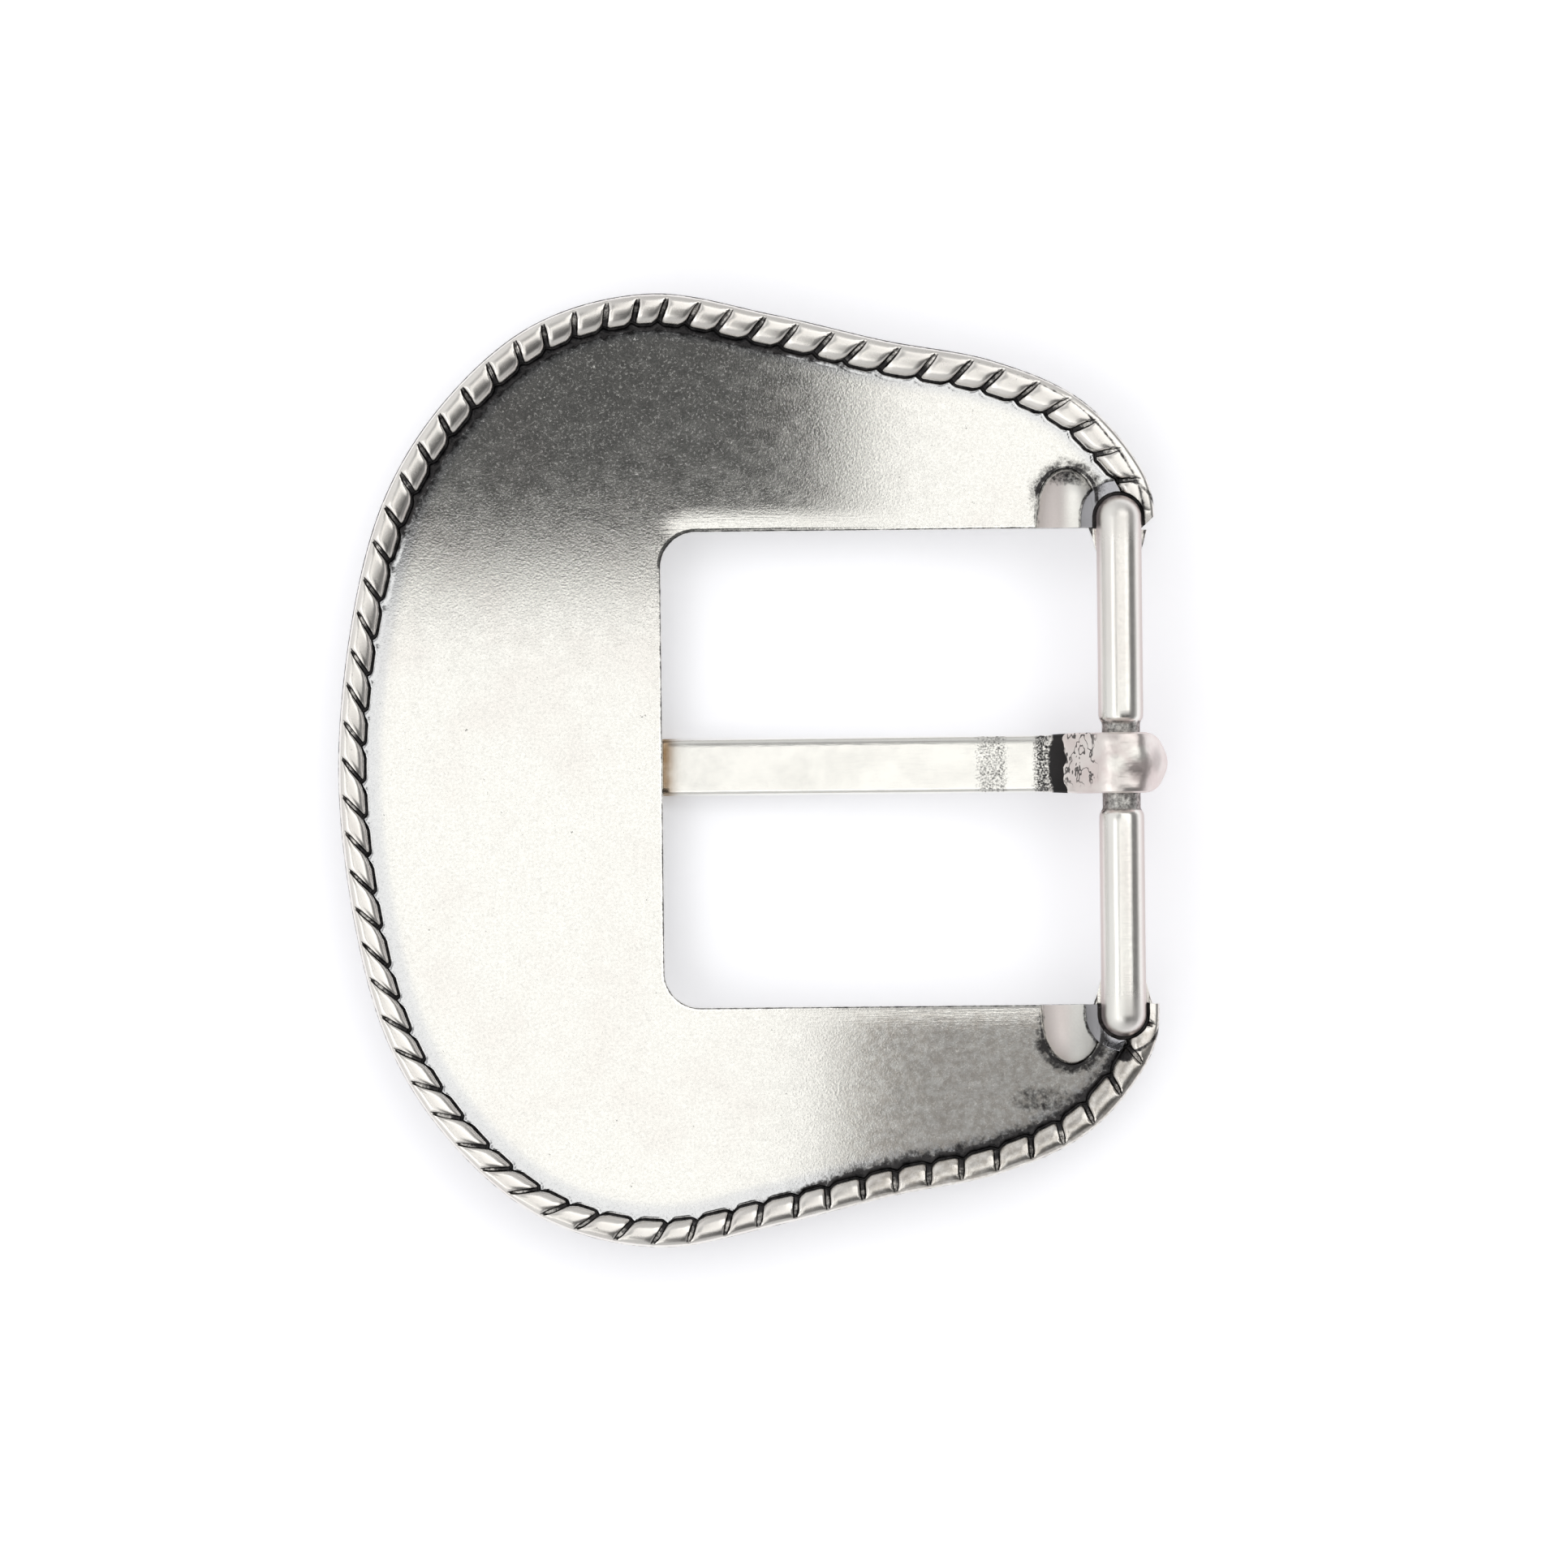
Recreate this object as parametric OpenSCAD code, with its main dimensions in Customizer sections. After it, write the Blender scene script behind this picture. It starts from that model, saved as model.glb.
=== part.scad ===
// Western-style belt buckle with a roped edge: a dished casting, a turned strap bar and a
// loose tongue bent round the bar. The strap side, where the bar is seated, faces +Z.
// Millimetres. The origin is the middle of the strap bar, on its axis. The bar runs along Y,
// the casting reaches out to -X and the tongue lies across its front, below it.

/* [Casting] */
// Width of strap that the window takes, which is the window's height
strap_w = 40; // [36:0.5:40]
// Distance from the bar's axis to the far edge of the window
window_reach = 38.5; // [32:0.5:42]
// Radius of the window's two far corners
window_corner_r = 3; // [1:0.5:6]
// Thickness of the dished plate
plate_t = 2.2; // [1.6:0.1:3]
// Radius of the dish, measured on its hollow side
dish_r = 240; // [200:10:600]
// Distance from the bar's axis to the bottom of the dish
dish_x = -31; // [-36:1:-26]

/* [Roped edge] */
// Width of the rope, from the outer edge inwards
rope_w = 3.1; // [2:0.1:4]
// How far the rope stands above the plate on either side
rope_h = 0.6; // [0.2:0.1:1.2]
// Number of strands along the rope
strands = 68; // [50:1:76]
// Width of the cut between two strands, at its wide inner end
strand_cut_w = 0.8; // [0.5:0.1:1]
// Depth of the cut between two strands
strand_cut_d = 0.5; // [0.1:0.1:0.5]

/* [Strap bar] */
// Diameter of the bar where the strap folds round it
bar_d = 3.8; // [3:0.1:4.4]
// Diameter of the turned neck that the tongue hangs on
neck_d = 3.2; // [2.4:0.1:3.6]
// Length of the neck
neck_l = 7.4; // [6:0.1:10]
// Length of the whole bar, over its round ends
bar_l = 45.4; // [44.6:0.1:46]

/* [Tongue] */
// Width of the strip that the tongue is bent from
tongue_w = 5.2; // [4:0.1:6]
// Thickness of that strip
tongue_t = 2; // [1.4:0.1:2.2]
// Gap between the neck and the tongue's eye
eye_gap = 0.35; // [0.2:0.05:0.5]
// How far the tongue's tip reaches past the window's edge
tip_overlap = 7.5; // [5:0.5:12]

/* [Hidden] */
$fn = 96;
sphere_fn = 256;

bar_r = bar_d / 2;
neck_r = neck_d / 2;
window_y = strap_w / 2;
bar_end_y = bar_l / 2 - bar_r;
shoulder_l = 0.4;
through = 40;

// Half of the outer edge, from the end of the +Y arm round to the point opposite the bar
HALF_EDGE = [
    [3.1, 20.5], [2, 25], [-3, 30.8], [-10.5, 34.2], [-19.5, 36], [-29, 38.3],
    [-39, 40.1], [-48.5, 37.8], [-56, 31.8], [-61.5, 23.5], [-64.5, 13], [-65.8, 0],
];
edge_steps = 4;

// Plain lip left outside the strands
rope_lip = 0.4;
// Slant of the cuts, in degrees, against the share of the way from the +Y arm's end
STRAND_SLANTS = [[0, 25], [0.3, 25], [0.45, 45], [0.7, 50], [0.85, 30], [1, 5]];

// Seat of each bar end: a flat land round an open slot, which holds the bar's lower side and
// is a little wider above that, so that a groove runs round the bar
land_z = -0.2;
land_w = 0.8;
groove_w = 0.5;
groove_z = -1;
seat_z = -3.3;
// Shelf under the bar, which runs out of the arm into the window
saddle_l = 2.4;
saddle_z = -0.9;
// Height of the plate's hollow side at the bar ends
plate_at_bar_z = -0.7;

// Round lump of metal beside each bar end
lump_r = 2.3;
lump_x = -4.3;
lump_z = -1.4;
lump_end_y = 23;

// The dish is the shell between two spheres round one centre
bar_end_reach = norm([dish_x, bar_end_y + bar_r]);
dish_z = plate_at_bar_z + sqrt(dish_r * dish_r - bar_end_reach * bar_end_reach);
front_r = dish_r + plate_t;

// The tongue leaves its eye level, bends down to the front of the plate and lies along it
eye_r = neck_r + eye_gap;
tongue_gap = 0.1;
level_l = 5.5;
bend_r = 8;
hook_angle = 212;
hook_l = 3.3;
tongue_chamfer = 0.5;
contact_x = -window_reach;
contact_z = dish_z - sqrt(front_r * front_r - pow(contact_x - dish_x, 2)) - tongue_gap;
front_tilt = asin((dish_x - contact_x) / front_r);
drop_angle = atan2(-eye_r - contact_z, window_reach - level_l);
slope_l = (window_reach - level_l) / cos(drop_angle);
tip_l = tip_overlap + 1;

function mirrored(points) = [for (i = [len(points) - 1 : -1 : 0]) [points[i][0], -points[i][1]]];

// Point at t, from 0 to 1, between b and c on a smooth curve through a, b, c and d
function curve_point(a, b, c, d, t) =
    (2 * b + (c - a) * t + (2 * a - 5 * b + 4 * c - d) * t * t + (3 * b - a - 3 * c + d) * t * t * t) / 2;

// Smooth curve through the points, which start and end square to their neighbours
function curve(points, before, after, steps) =
    let (p = concat([before], points, [after]))
    concat(
        [for (i = [1 : len(p) - 3]) for (k = [0 : steps - 1])
            curve_point(p[i - 1], p[i], p[i + 1], p[i + 2], k / steps)],
        [points[len(points) - 1]]
    );

half_edge = curve(
    HALF_EDGE,
    [HALF_EDGE[0][0], HALF_EDGE[0][1] - 4],
    [HALF_EDGE[len(HALF_EDGE) - 2][0], -HALF_EDGE[len(HALF_EDGE) - 2][1]],
    edge_steps
);
last_half = len(half_edge) - 1;
EDGE = concat(half_edge, mirrored([for (i = [0 : last_half - 1]) half_edge[i]]));

// Direction along the closed edge at point i, which runs anticlockwise
function edge_direction(i) =
    let (n = len(EDGE), d = EDGE[(i + 1) % n] - EDGE[(i + n - 1) % n])
    d / norm(d);

// The closed edge moved inwards by a distance
function inset_edge(distance) =
    [for (i = [0 : len(EDGE) - 1])
        let (d = edge_direction(i))
        EDGE[i] + distance * [-d[1], d[0]]];

// Distance along the closed edge to each of its points
edge_s = [
    for (i = 0, s = 0; i <= len(EDGE); s = s + norm(EDGE[(i + 1) % len(EDGE)] - EDGE[i % len(EDGE)]), i = i + 1)
        s
];
rope_l = edge_s[len(EDGE) - 1];

// Point on the edge, or inset from it, a distance s along it
function edge_at(s, inset) =
    let (
        line = inset_edge(inset),
        i = len([for (x = edge_s) if (x <= s) x]) - 1,
        t = (s - edge_s[i]) / (edge_s[i + 1] - edge_s[i]),
        a = line[i],
        b = line[(i + 1) % len(line)]
    )
    a + t * (b - a);

// Ball round the dish's centre, turned so that its poles stay clear of the casting
module dish_ball(r) {
    translate([dish_x, 0, dish_z])
        rotate([90, 0, 0])
            sphere(r, $fn = sphere_fn);
}

// Flat outline cut to the dished shell, thicker by extra on each side
module dished(extra) {
    intersection() {
        translate([0, 0, -through / 2])
            linear_extrude(through)
                children();
        difference() {
            dish_ball(front_r + extra);
            dish_ball(dish_r - extra);
        }
    }
}

module plate() {
    dished(0)
        polygon(inset_edge(rope_w / 2));
}

module rope_band() {
    difference() {
        polygon(EDGE);
        polygon(inset_edge(rope_w));
    }
}

// Wedge between two strands, narrow at the lip, its outer end further back along the edge
module strand_cut(s) {
    lean = (rope_w - rope_lip) * tan(lookup(s / rope_l, STRAND_SLANTS)) / 2;
    outer = edge_at(s - lean, rope_lip);
    inner = edge_at(s + lean, rope_w + rope_lip);
    half_cut = (edge_at(s + strand_cut_w, 0) - edge_at(s, 0)) / 2;
    polygon([outer, inner + half_cut, inner - half_cut]);
}

// Full height on the strands, and lower in the cuts between them
module rope() {
    dished(rope_h - strand_cut_d)
        rope_band();
    dished(rope_h)
        difference() {
            rope_band();
            for (i = [0 : strands - 1])
                strand_cut((i + 0.5) * rope_l / strands);
        }
}

// Everything inside the casting's outer edge, from the seats' underside up to z
module within_edge(z) {
    translate([0, 0, seat_z])
        linear_extrude(z - seat_z)
            polygon(EDGE);
}

// Seat of the bar end on the +Y side
module seat() {
    land_r = bar_r + groove_w + land_w;
    intersection() {
        within_edge(land_z);
        union() {
            translate([0, bar_end_y, -through / 2])
                cylinder(r = land_r, h = through);
            translate([-land_r, 0, -through / 2])
                cube([2 * land_r, bar_end_y, through]);
        }
    }
}

// Round lump beside the bar end on the +Y side
module lump() {
    intersection() {
        translate([lump_x, 0, lump_z])
            union() {
                rotate([-90, 0, 0])
                    cylinder(r = lump_r, h = lump_end_y);
                translate([0, lump_end_y, 0])
                    sphere(lump_r);
            }
        translate([lump_x - lump_r, 0, lump_z])
            cube([2 * lump_r, window_y + lump_end_y, 2 * lump_r]);
    }
}

// Shelf under the bar on the +Y side, tapered along the bar
module saddle() {
    saddle_end_y = window_y - saddle_l;
    wide = bar_r + land_w;
    narrow = bar_r - land_w;
    translate([0, 0, seat_z])
        linear_extrude(saddle_z - seat_z)
            polygon([
                [-wide, window_y + 0.5], [-narrow, saddle_end_y],
                [narrow, saddle_end_y], [wide, window_y + 0.5],
            ]);
}

// Strap window, open past the bar
module window() {
    r = window_corner_r;
    translate([0, 0, -through / 2])
        linear_extrude(through)
            union() {
                translate([r - window_reach, -window_y])
                    square([window_reach + through, strap_w]);
                translate([-window_reach, r - window_y])
                    square([2 * r, strap_w - 2 * r]);
                for (side = [-1, 1])
                    translate([r - window_reach, side * (window_y - r)])
                        circle(r);
            }
}

// Slot for the bar end on the +Y side, with the groove round its mouth
module slot() {
    groove_r = bar_r + groove_w;
    rotate([-90, 0, 0])
        cylinder(r = bar_r, h = bar_end_y);
    translate([0, bar_end_y, 0])
        sphere(bar_r);
    translate([0, bar_end_y, groove_z])
        cylinder(r = groove_r, h = through);
    translate([-groove_r, 0, groove_z])
        cube([2 * groove_r, bar_end_y, through]);
}

module both_sides() {
    children();
    mirror([0, 1, 0])
        children();
}

module frame() {
    color([0.8, 0.8, 0.78])
        difference() {
            union() {
                difference() {
                    union() {
                        plate();
                        rope();
                        both_sides() seat();
                        both_sides() lump();
                    }
                    window();
                }
                both_sides() saddle();
            }
            both_sides() slot();
        }
}

// Half of the bar on the +Y side
module half_bar() {
    rotate([-90, 0, 0]) {
        cylinder(r = neck_r, h = neck_l / 2 + shoulder_l);
        translate([0, 0, neck_l / 2])
            cylinder(r1 = neck_r, r2 = bar_r, h = shoulder_l);
        translate([0, 0, neck_l / 2 + shoulder_l])
            cylinder(r = bar_r, h = bar_end_y - neck_l / 2 - shoulder_l);
    }
    translate([0, bar_end_y, 0])
        sphere(bar_r);
}

module strap_bar() {
    color([0.86, 0.85, 0.82])
        both_sides() half_bar();
}

// Section of the strip, with its width along x and its long edges chamfered
module strip_section() {
    w = tongue_w / 2;
    t = tongue_t / 2;
    c = tongue_chamfer;
    polygon([
        [c - w, -t], [w - c, -t], [w, c - t], [w, t - c],
        [w - c, t], [c - w, t], [-w, t - c], [-w, c - t],
    ]);
}

// Straight piece of strip along +X, then whatever follows it
module straight(length) {
    rotate([90, 0, 90])
        linear_extrude(length)
            strip_section();
    translate([length, 0, 0])
        children();
}

// Piece of strip that starts along +X and bends up by angle, then whatever follows it
module bend_up(angle, r) {
    translate([0, 0, r])
        rotate([90, 90, 0])
            rotate_extrude(angle = angle)
                translate([r, 0])
                    rotate(90)
                        strip_section();
    translate([r * sin(angle), 0, r - r * cos(angle)])
        rotate([0, -angle, 0])
            children();
}

// The same, bending down
module bend_down(angle, r) {
    mirror([0, 0, 1])
        bend_up(angle, r);
    translate([r * sin(angle), 0, r * cos(angle) - r])
        rotate([0, angle, 0])
            children();
}

// Plan of the tongue, which ends in a round tip
module tongue_plan() {
    tip_x = contact_x - tip_overlap + tongue_w / 2;
    translate([tip_x, 0])
        circle(tongue_w / 2);
    translate([tip_x, -tongue_w / 2])
        square([through - tip_x, tongue_w]);
}

module tongue() {
    middle_r = eye_r + tongue_t / 2;
    color([0.82, 0.79, 0.77])
        intersection() {
            translate([0, 0, -middle_r])
                union() {
                    bend_up(hook_angle, middle_r)
                        straight(hook_l);
                    mirror([1, 0, 0])
                        straight(level_l)
                            bend_down(drop_angle, bend_r)
                                straight(slope_l - bend_r * sin(drop_angle))
                                    bend_up(drop_angle + front_tilt, bend_r)
                                        straight(tip_l);
                }
            translate([0, 0, -through / 2])
                linear_extrude(through)
                    tongue_plan();
        }
}

frame();
strap_bar();
tongue();
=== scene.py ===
"""Belt buckle with a roped edge, seen from the side where the strap bar is seated.

The model stands in the CAD frame: the origin is the middle of the strap bar, the bar runs
along Y, the casting reaches out to -X, and +Z comes out of its hollow side. Shapes are worked
out in millimetres and written to the meshes in metres.
"""

import math
import random

import bpy
import bmesh
import numpy as np
from mathutils.kdtree import KDTree
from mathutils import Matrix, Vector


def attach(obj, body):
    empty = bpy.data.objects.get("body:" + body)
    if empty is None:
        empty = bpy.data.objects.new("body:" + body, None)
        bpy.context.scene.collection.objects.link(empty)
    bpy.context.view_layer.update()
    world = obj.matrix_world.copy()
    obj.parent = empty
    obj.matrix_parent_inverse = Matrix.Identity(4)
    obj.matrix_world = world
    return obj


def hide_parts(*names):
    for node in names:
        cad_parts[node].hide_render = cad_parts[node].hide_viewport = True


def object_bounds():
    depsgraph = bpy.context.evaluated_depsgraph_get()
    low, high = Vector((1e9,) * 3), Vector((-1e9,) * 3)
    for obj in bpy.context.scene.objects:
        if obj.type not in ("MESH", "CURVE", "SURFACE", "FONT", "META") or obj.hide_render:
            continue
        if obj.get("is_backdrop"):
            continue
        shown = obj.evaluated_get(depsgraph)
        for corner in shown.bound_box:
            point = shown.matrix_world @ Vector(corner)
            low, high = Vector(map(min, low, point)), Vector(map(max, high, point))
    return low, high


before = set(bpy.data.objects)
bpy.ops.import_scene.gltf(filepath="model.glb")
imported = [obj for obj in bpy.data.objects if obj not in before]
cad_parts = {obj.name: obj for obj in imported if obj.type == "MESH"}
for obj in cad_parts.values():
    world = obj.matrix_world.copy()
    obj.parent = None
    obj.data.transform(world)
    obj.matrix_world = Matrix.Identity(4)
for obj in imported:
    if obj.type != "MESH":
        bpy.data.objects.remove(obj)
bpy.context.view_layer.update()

MM = 0.001
rng = random.Random(7)

# ---------------------------------------------------------------- the casting's sizes, in mm
WINDOW_REACH = 38.5
WINDOW_Y = 20.0
WINDOW_CORNER_R = 3.0
PLATE_T = 2.2
# The hollow side lies on a sphere, and has this height and y beside the bar's ends
DISH_R = 240.0
DISH_X = -31.0
PLATE_Z_AT_BAR = -0.7
PLATE_Y_AT_BAR = 22.7
DISH_Z = PLATE_Z_AT_BAR + math.sqrt(DISH_R**2 - DISH_X**2 - PLATE_Y_AT_BAR**2)

# Half of the outer edge, from the end of the +Y arm round to the point opposite the bar
HALF_EDGE = [
    (3.1, 20.0), (2, 25), (-3, 30.8), (-10.5, 34.2), (-19.5, 36), (-29, 38.3),
    (-39, 40.1), (-48.5, 37.8), (-56, 31.8), (-61.5, 23.5), (-64.5, 13), (-65.8, 0),
]
# Points on each piece of that curve, and how far inside it the casting stays
EDGE_STEPS = 40
EDGE_INSET = 0.04

STRANDS = 68
# All against the share of the way round from the +Y arm's end: slant of the cuts in degrees,
# distance from one to the next, width of the rope, and how dark the plate is beside it
STRAND_SLANTS = [
    (0, 25), (0.15, 34), (0.23, 20), (0.33, 17), (0.44, 49), (0.6, 54), (0.7, 47), (0.78, 28),
    (0.845, 7), (0.95, 20), (1, 25),
]
STRAND_PITCHES = [
    (0, 3.0), (0.15, 2.7), (0.25, 2.45), (0.35, 2.9), (0.75, 2.9), (0.845, 2.6), (0.95, 3.0), (1, 3.2),
]
ROPE_WIDTHS = [
    (0, 2.2), (0.04, 2.8), (0.2, 2.65), (0.33, 2.45), (0.44, 2.2), (0.7, 2.25), (0.845, 2.25), (1, 2.4),
]
RIM_DIRT = [
    (0, 0.3), (0.12, 0.3), (0.17, 0.75), (0.2, 1.0), (0.37, 1.0), (0.42, 0.45), (0.46, 0.1), (0.76, 0.1),
    (0.8, 0.5), (0.84, 0.95), (0.92, 0.95), (0.97, 0.85), (1, 0.6),
]
# How dark the wall outside the rope is, near its top
WALL_DIRT = [(0, 0.3), (0.04, 0.4), (0.1, 0.72), (0.42, 0.76), (0.5, 0.62), (0.7, 0.46), (1, 0.4)]
# Bare lip outside the rope, widest where the arms end, and how dark the line beside it is
LIP_WIDTHS = [(0, 0.8), (0.02, 0.6), (0.06, 0.25), (0.1, 0.05), (0.9, 0), (0.98, 0.1), (1, 0.45)]
LIP_DIRT = [(0, 0.66), (0.05, 0.7), (0.1, 0.4), (0.14, 0), (0.97, 0), (1, 0.4)]
# Across a rope of full width: where a cut begins and is fully deep, and where a pad, the raised
# piece between two cuts, has its middle and its inner end
CUT_START = 0.3
CUT_FULL = 0.8
PAD_MIDDLE = 1.6
PAD_END = 2.9
# Where the crease beside the rope and the whole rim meet the plate
CREASE_END = 3.35
RIM_END = 4.4
# Heights over the plate
PAD_TOP = 0.58
WALL_TOP = -0.45
CREASE_Z = -0.22
CUT_FLOOR = 0.05
# Half width of a cut at its outer and its inner end
CUT_HALF_OUTER = 0.07
CUT_HALF_INNER = 0.175
# How far a cut's inner end draws back from the line of the pads' ends
CUT_DRAWN = 0.27
# Pads' rounded inner corners before and after a cut: how far each reaches, and its depth
CORNER_BEFORE = (0.5, 0.2)
CORNER_AFTER = (0.8, 0.45)
# A cut's far side draws back by at most this much more than its middle
CORNER_STEP = 0.085

# ---------------------------------------------------------------- the bar and the tongue, in mm
BAR_R = 1.9
BAR_END_Y = 20.8
NECK_R = 1.6
NECK_L = 7.4
SHOULDER_L = 0.4
TONGUE_W = 5.2
TONGUE_T = 2.0
EYE_R = 1.95
# Along the strip: the level piece next to the bar, the radius of its bends, how far the hook turns
# and its straight end, and how far the tip reaches past the window
LEVEL_L = 5.5
BEND_R = 8.0
HOOK_ANGLE = math.radians(212)
HOOK_L = 3.3
TIP_OVERLAP = 7.5
# The tongue has slid this far along the neck
TONGUE_SHIFT = 0.25


def smoothstep(low, high, x):
    """0 at low and before, 1 at high and beyond, and a smooth rise between them."""
    t = np.clip((np.asarray(x, float) - low) / (high - low), 0, 1)
    return t * t * (3 - 2 * t)


def ramp(low, high, x):
    """smoothstep() for one plain number."""
    return float(smoothstep(low, high, x))


# ================================================================ mesh helpers


def make_object(name, verts_mm, faces, values=None):
    """Mesh object from points in millimetres, with a float per point for each named value."""
    mesh = bpy.data.meshes.new(name)
    mesh.from_pydata((np.asarray(verts_mm) * MM).tolist(), [], faces)
    for key, data in (values or {}).items():
        attribute = mesh.attributes.new(key, "FLOAT", "POINT")
        attribute.data.foreach_set("value", np.asarray(data, np.float32).ravel())
    obj = bpy.data.objects.new(name, mesh)
    bpy.context.scene.collection.objects.link(obj)
    bm = bmesh.new()
    bm.from_mesh(mesh)
    bmesh.ops.triangulate(bm, faces=[f for f in bm.faces if len(f.verts) > 4])
    bmesh.ops.recalc_face_normals(bm, faces=bm.faces)
    bm.to_mesh(mesh)
    bm.free()
    return obj


def tube_faces(rows, around):
    """Quads between rows of points that each close on themselves, and a face over each end."""
    faces = []
    for i in range(rows - 1):
        for k in range(around):
            n = (k + 1) % around
            faces.append((i * around + k, i * around + n, (i + 1) * around + n, (i + 1) * around + k))
    faces.append(tuple(range(around)))
    faces.append(tuple((rows - 1) * around + k for k in reversed(range(around))))
    return faces


def tube(name, rings, values=None):
    """Closed mesh through rings of points: an array of rows, points around, and x, y, z."""
    rings = np.asarray(rings, float)
    rows, around = rings.shape[:2]
    return make_object(name, rings.reshape(-1, 3), tube_faces(rows, around), values)


def lathe(name, profile, around, centre=(0.0, 0.0), stretch=(1.0, 1.0)):
    """Turned form about a line along Y: profile has (y, radius) pairs, centre is x and z."""
    angles = np.linspace(0, 2 * math.pi, around, endpoint=False)
    rings = []
    for y, r in profile:
        wide = r * stretch[0]
        high = r * stretch[1]
        rings.append([(centre[0] + wide * math.cos(a), y, centre[1] + high * math.sin(a)) for a in angles])
    return tube(name, rings)


def offset_outline(outline, distance):
    """Closed outline, anticlockwise, moved outwards by a distance."""
    p = np.asarray(outline, float)
    d = np.roll(p, -1, axis=0) - np.roll(p, 1, axis=0)
    d /= np.linalg.norm(d, axis=1)[:, None]
    return p + distance * np.stack([d[:, 1], -d[:, 0]], axis=1)


def prism(name, outline, low, high, rounding):
    """Upright block on an outline, with its top and bottom edges rounded."""
    below = []
    for share in (1.0, 0.6, 0.3, 0.08, 0.0):
        inset = -rounding * share
        drop = math.sqrt(max(0, rounding**2 - (rounding + inset) ** 2))
        below.append((inset, low + rounding - drop))
    above = [(inset, high + low - z) for inset, z in reversed(below)]
    rings = []
    for inset, z in below + above:
        flat = offset_outline(outline, inset)
        rings.append(np.column_stack([flat, np.full(len(flat), z)]))
    return tube(name, rings)


def boolean(target, cutters, operation):
    """Joins the cutters to the target or cuts them from it, then removes them."""
    for cutter in cutters:
        modifier = target.modifiers.new("solid", "BOOLEAN")
        modifier.operation = operation
        modifier.solver = "MANIFOLD"
        modifier.object = cutter
    bpy.context.view_layer.update()
    made = bpy.data.meshes.new_from_object(target.evaluated_get(bpy.context.evaluated_depsgraph_get()))
    target.modifiers.clear()
    target.data = made
    for cutter in cutters:
        bpy.data.objects.remove(cutter)


def smooth(obj, angle):
    """Smooth shading, with edges sharper than an angle in degrees left hard."""
    obj.data.shade_smooth()
    obj.data.set_sharp_from_angle(angle=math.radians(angle))


# ================================================================ the casting


def curve_point(a, b, c, d, t):
    """Point at t between b and c on a smooth curve through a, b, c and d."""
    return (2 * b + (c - a) * t + (2 * a - 5 * b + 4 * c - d) * t * t + (3 * b - a - 3 * c + d) * t**3) / 2


class Edge:
    """The casting's open outer edge: s runs along it from the +Y arm's end, w goes inwards."""

    def __init__(self):
        half = [np.array(p, float) for p in HALF_EDGE]
        # The curve leaves the arm's end square to the window's side
        before = np.array([HALF_EDGE[1][0], 2 * HALF_EDGE[0][1] - HALF_EDGE[1][1]])
        after = half[-2] * (1, -1)
        p = [before, *half, after]
        points = [
            curve_point(p[i - 1], p[i], p[i + 1], p[i + 2], k / EDGE_STEPS)
            for i in range(1, len(p) - 2)
            for k in range(EDGE_STEPS)
        ]
        points = points + [half[-1]] + [q * (1, -1) for q in reversed(points)]
        self.points = np.array(points)
        steps = np.linalg.norm(np.diff(self.points, axis=0), axis=1)
        self.s = np.concatenate([[0], np.cumsum(steps)])
        self.length = self.s[-1]
        d = np.gradient(self.points, self.s, axis=0)
        d[0] = (0, 1)
        d[-1] = (0, 1)
        d /= np.linalg.norm(d, axis=1)[:, None]
        d[-1] = (0, 1)
        self.inwards = np.stack([-d[:, 1], d[:, 0]], axis=1)

    def at(self, s, w):
        """x and y of the points a distance s along the edge and w inwards from it."""
        w = np.asarray(w) + EDGE_INSET
        x = np.interp(s, self.s, self.points[:, 0]) + w * np.interp(s, self.s, self.inwards[:, 0])
        y = np.interp(s, self.s, self.points[:, 1]) + w * np.interp(s, self.s, self.inwards[:, 1])
        return x, y


edge = Edge()


def hollow_z(x, y):
    """Height of the plate's hollow side."""
    return DISH_Z - np.sqrt(DISH_R**2 - (x - DISH_X) ** 2 - y**2)


def front_z(x, y):
    """Height of the plate's front side."""
    return DISH_Z - np.sqrt((DISH_R + PLATE_T) ** 2 - (x - DISH_X) ** 2 - y**2)


# Lines across the casting start from this x in the window. Between these two x the lines change
# to cross the arm, leaning by this much
WINDOW_MIDDLE_X = -20.0
ARM_START_X = -16
ARM_FULL_X = -6
ARM_LEAN = 4.6


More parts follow.
